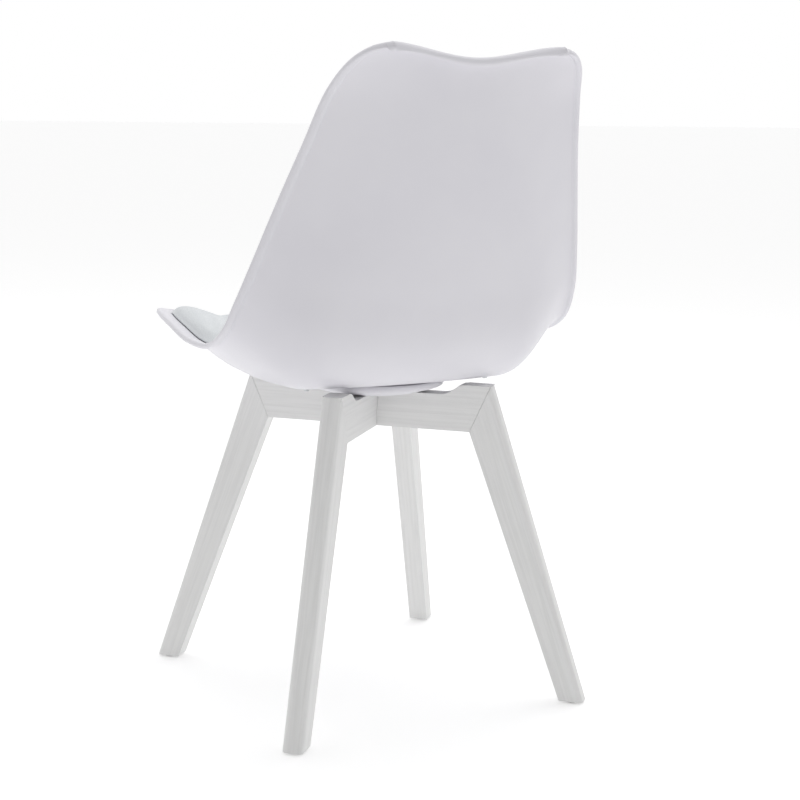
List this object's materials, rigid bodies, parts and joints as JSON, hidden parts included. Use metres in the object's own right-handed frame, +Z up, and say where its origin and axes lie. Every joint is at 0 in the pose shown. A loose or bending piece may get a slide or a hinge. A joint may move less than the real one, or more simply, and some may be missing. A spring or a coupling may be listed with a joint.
{
  "type": "dining chair",
  "caption": "Moulded tub chair with a curved back and padded seat cushion, on splayed timber legs joined by a crossed rail base.",
  "frame": {"origin": "on the floor, under the middle of the chair's bounding box", "axes": "+Z up; the chair's front faces -Y; +X is the sitter's left"},
  "size_m": [0.4886, 0.5108, 0.82],
  "materials": {
    "shell": "satin moulded polypropylene, off-white",
    "cushion": "white coated leatherette",
    "foam": "open-cell foam, hidden",
    "board": "black cushion base, hidden",
    "timber": "beech under a thin light grey-white paint",
    "dowel": "bare beech, hidden",
    "steel": "zinc-plated hardware",
    "glide": "light grey nylon"
  },
  "bodies": {
    "root": {"seat_shell": "shell", "cushion_cover": "cushion", "cushion_foam": "foam", "cushion_board": "board", "cushion_screw_1": "steel", "cushion_screw_2": "steel", "cushion_screw_3": "steel", "cushion_screw_4": "steel", "leg_front_left": "timber", "dowel_front_left_1": "dowel", "dowel_front_left_2": "dowel", "glide_front_left": "glide", "glide_nail_front_left": "steel", "seat_bolt_front_left": "steel", "seat_washer_front_left": "steel", "threaded_insert_front_left": "steel", "leg_rear_left": "timber", "dowel_rear_left_1": "dowel", "dowel_rear_left_2": "dowel", "glide_rear_left": "glide", "glide_nail_rear_left": "steel", "seat_bolt_rear_left": "steel", "seat_washer_rear_left": "steel", "threaded_insert_rear_left": "steel", "leg_rear_right": "timber", "dowel_rear_right_1": "dowel", "dowel_rear_right_2": "dowel", "glide_rear_right": "glide", "glide_nail_rear_right": "steel", "seat_bolt_rear_right": "steel", "seat_washer_rear_right": "steel", "threaded_insert_rear_right": "steel", "leg_front_right": "timber", "dowel_front_right_1": "dowel", "dowel_front_right_2": "dowel", "glide_front_right": "glide", "glide_nail_front_right": "steel", "seat_bolt_front_right": "steel", "seat_washer_front_right": "steel", "threaded_insert_front_right": "steel", "rail_front_left_to_rear_right": "timber", "rail_rear_left_to_front_right": "timber", "centre_bolt": "steel", "centre_washer": "steel", "centre_nut": "steel"}
  },
  "joints": []
}
